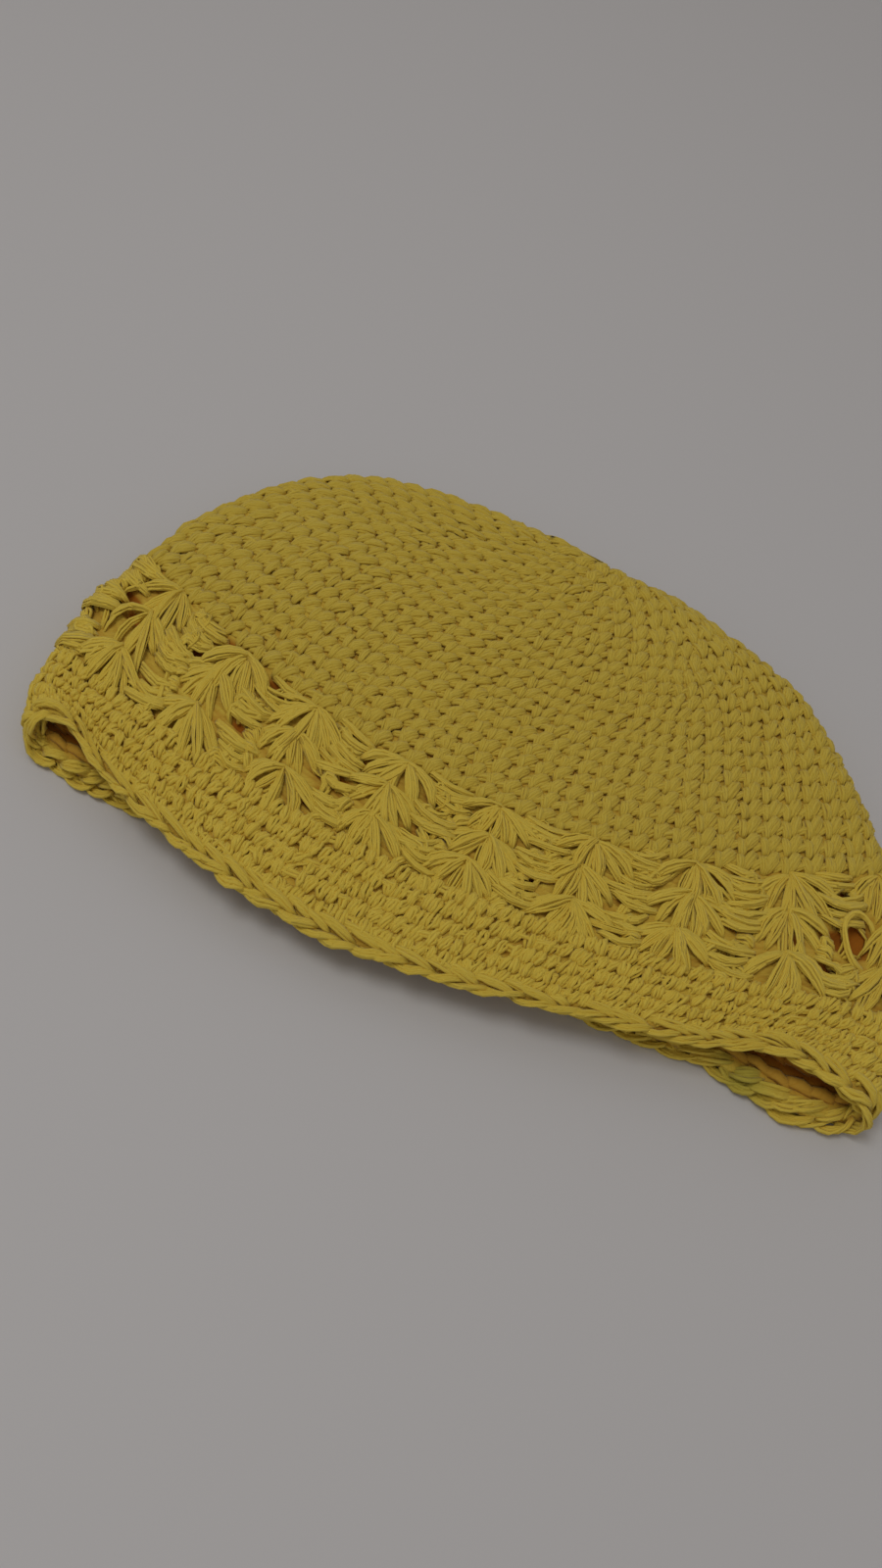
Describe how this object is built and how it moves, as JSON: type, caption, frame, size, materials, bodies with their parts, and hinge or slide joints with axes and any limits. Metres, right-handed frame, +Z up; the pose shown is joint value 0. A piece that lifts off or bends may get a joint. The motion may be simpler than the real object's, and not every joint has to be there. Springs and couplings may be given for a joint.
{
  "type": "crocheted kufi cap",
  "caption": "Soft yellow cotton kufi crocheted in the round, lying folded flat, with a dense crown, an openwork shell band, a brim and a corded rim.",
  "frame": {"origin": "middle of the kufi as it lies folded flat, on the surface under it", "axes": "+X along the rim from the left fold to the right fold, +Y from the rim to the top of the crown, +Z up out of the surface"},
  "size_m": [0.1992, 0.137, 0.0148],
  "materials": {
    "crown_yarn": "matte crocheted cotton",
    "shell_yarn": "matte crocheted cotton, loosely twisted",
    "brim_yarn": "matte crocheted cotton",
    "rim_yarn": "matte crocheted cotton, slightly stained"
  },
  "bodies": {
    "root": {"crown": "crown_yarn", "shell_band": "shell_yarn", "brim_band": "brim_yarn", "rim_edge": "rim_yarn"}
  },
  "joints": []
}
